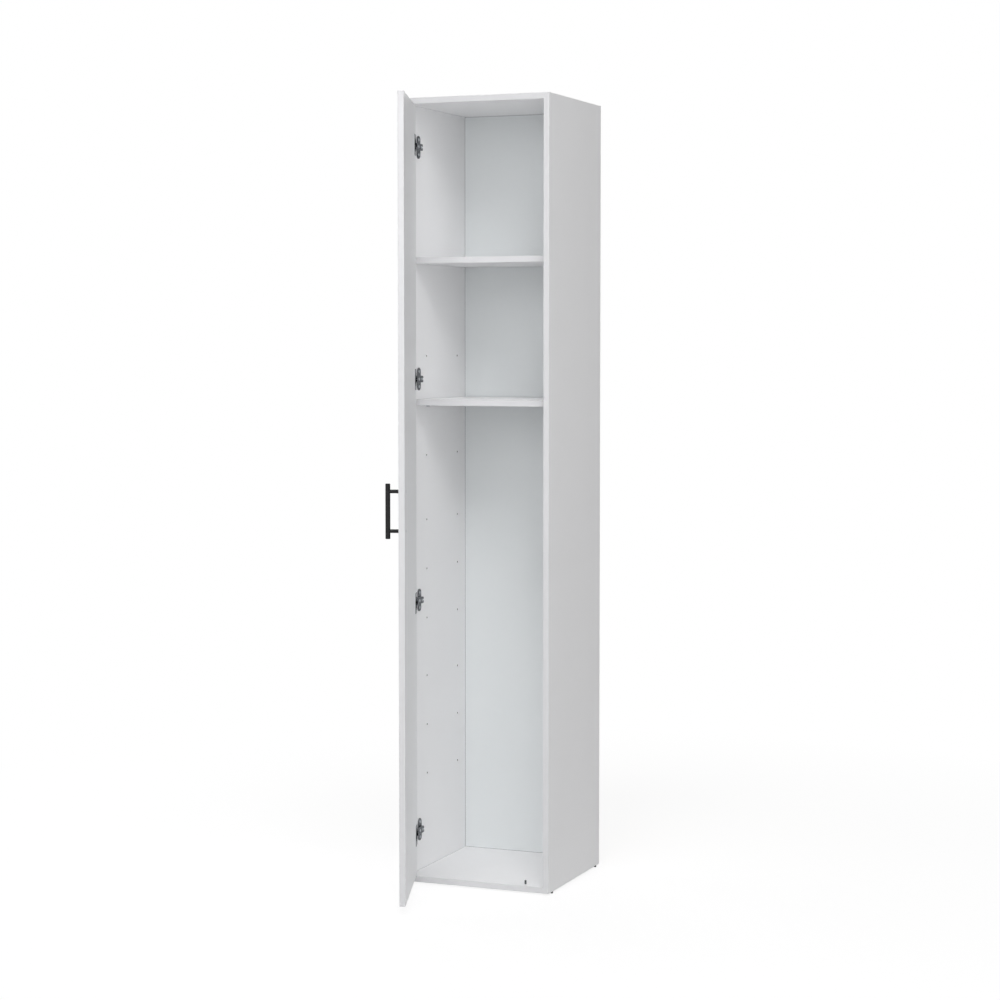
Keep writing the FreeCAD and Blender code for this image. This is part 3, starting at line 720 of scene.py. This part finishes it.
fit_fasteners(
    "foot_nails", "carcass", -UP,
    head_sizes(
        height=1.0, foot_radius=2.0, top_radius=1.9, roundness=1.0,
        shank_radius=1.0, shank_length=15.0,
    ),
)


def seen_rays(tree):
    """1 for the rays that show the background itself: the camera's, and those off metal and gloss."""
    rays = add(tree, "ShaderNodeLightPath").outputs
    either = add(
        tree, "ShaderNodeMath", {0: rays["Is Camera Ray"], 1: rays["Is Glossy Ray"]}, operation="MAXIMUM"
    )
    shown = add(
        tree,
        "ShaderNodeMath",
        {0: either.outputs[0], 1: rays["Is Transmission Ray"]},
        operation="MAXIMUM",
    )
    return shown.outputs[0]


def add_floor():
    """A pale floor that shows as white round the object and keeps its shadow."""
    # Far past every view.
    half = 30.0
    # How far from the middle the floor starts to go over into the white of the room, and where it ends.
    fade_start = 0.9
    fade_end = 2.2
    corners = [(-half, -half, 0), (half, -half, 0), (half, half, 0), (-half, half, 0)]
    plane = bpy.data.meshes.new("floor")
    plane.from_pydata(corners, [], [(0, 1, 2, 3)])
    floor = bpy.data.objects.new("floor", plane)
    bpy.context.scene.collection.objects.link(floor)
    material = bpy.data.materials.new("pale_floor")
    material.use_nodes = True
    tree = material.node_tree
    tree.nodes.clear()
    bounce = add(tree, "ShaderNodeBsdfDiffuse", {"Color": linear("#f2f2f2")})
    shaded = add(tree, "ShaderNodeBsdfDiffuse", {"Color": linear("#7f7f7f")})
    glow = add(tree, "ShaderNodeEmission", {"Strength": 0.85})
    lifted = add(tree, "ShaderNodeAddShader", {0: shaded.outputs[0], 1: glow.outputs[0]})
    spot = add(tree, "ShaderNodeTexCoord")
    reach = add(tree, "ShaderNodeVectorMath", {0: spot.outputs["Object"]}, operation="LENGTH")
    fade = add(
        tree,
        "ShaderNodeMapRange",
        {"Value": reach.outputs["Value"], "From Min": fade_start, "From Max": fade_end},
    )
    white = add(tree, "ShaderNodeEmission", {"Strength": 1.0})
    far = add(
        tree,
        "ShaderNodeMixShader",
        {0: fade.outputs["Result"], 1: lifted.outputs[0], 2: white.outputs[0]},
    )
    floor_mix = add(
        tree, "ShaderNodeMixShader", {0: seen_rays(tree), 1: bounce.outputs[0], 2: far.outputs[0]}
    )
    add(tree, "ShaderNodeOutputMaterial", {"Surface": floor_mix.outputs[0]})
    plane.materials.append(material)


def add_studio():
    """An even white room, soft lamps that reach into the open cupboard, and fills for its far sides."""
    scene = bpy.context.scene
    world = bpy.data.worlds.new("white_room")
    scene.world = world
    world.use_nodes = True
    tree = world.node_tree
    tree.nodes.clear()
    room = add(tree, "ShaderNodeBackground", {"Color": linear("#fdfdff"), "Strength": 0.05})
    white = add(tree, "ShaderNodeBackground", {"Color": (1, 1, 1, 1), "Strength": 1.0})
    both = add(tree, "ShaderNodeMixShader", {0: seen_rays(tree), 1: room.outputs[0], 2: white.outputs[0]})
    add(tree, "ShaderNodeOutputWorld", {"Surface": both.outputs[0]})

    # Place, watts and width of each lamp. The high ones are smaller, so the shelves keep their shadows.
    soft_boxes = {
        "front_box": ((1.0, -6.2, 2.7), 64.0, 2.4),
        "high_box": ((2.4, -4.2, 4.8), 78.0, 1.7),
        "over_box": ((0.3, -3.3, 6.0), 84.0, 1.7),
        "right_box": ((2.8, -3.2, 3.2), 25.0, 2.4),
        "side_box": ((4.8, -3.1, 1.5), 26.0, 2.4),
        "low_box": ((2.4, -3.6, 0.5), 25.0, 2.4),
        "left_fill": ((-3.6, 0.4, 2.2), 36.0, 2.4),
        "rear_fill": ((-2.0, 3.6, 2.2), 60.0, 2.4),
    }
    aimed_at = Vector((0.0, -0.3, 1.0))
    for name, (place, watts, width) in soft_boxes.items():
        lamp = bpy.data.lights.new(name, "AREA")
        lamp.shape = "SQUARE"
        lamp.size = width
        lamp.energy = watts
        holder = bpy.data.objects.new(name, lamp)
        holder.location = place
        holder.rotation_euler = (aimed_at - holder.location).to_track_quat("-Z", "Y").to_euler()
        scene.collection.objects.link(holder)
    scene.view_settings.view_transform = "Standard"


def add_camera():
    """The photograph's viewpoint: right of the cupboard, at chest height, looking slightly down."""
    look_down = 3.3337
    turn_left = 22.0936
    camera = bpy.data.cameras.new("camera")
    camera.sensor_width = 36.0
    camera.lens = 84.92
    camera.shift_y = -0.02
    camera.clip_end = 100.0
    viewer = bpy.data.objects.new("camera", camera)
    viewer.location = (2.2851, -5.8386, 1.3852)
    viewer.rotation_euler = Euler((math.radians(90 - look_down), 0.0, math.radians(turn_left)))
    bpy.context.scene.collection.objects.link(viewer)
    bpy.context.scene.camera = viewer


add_floor()
add_studio()
add_camera()
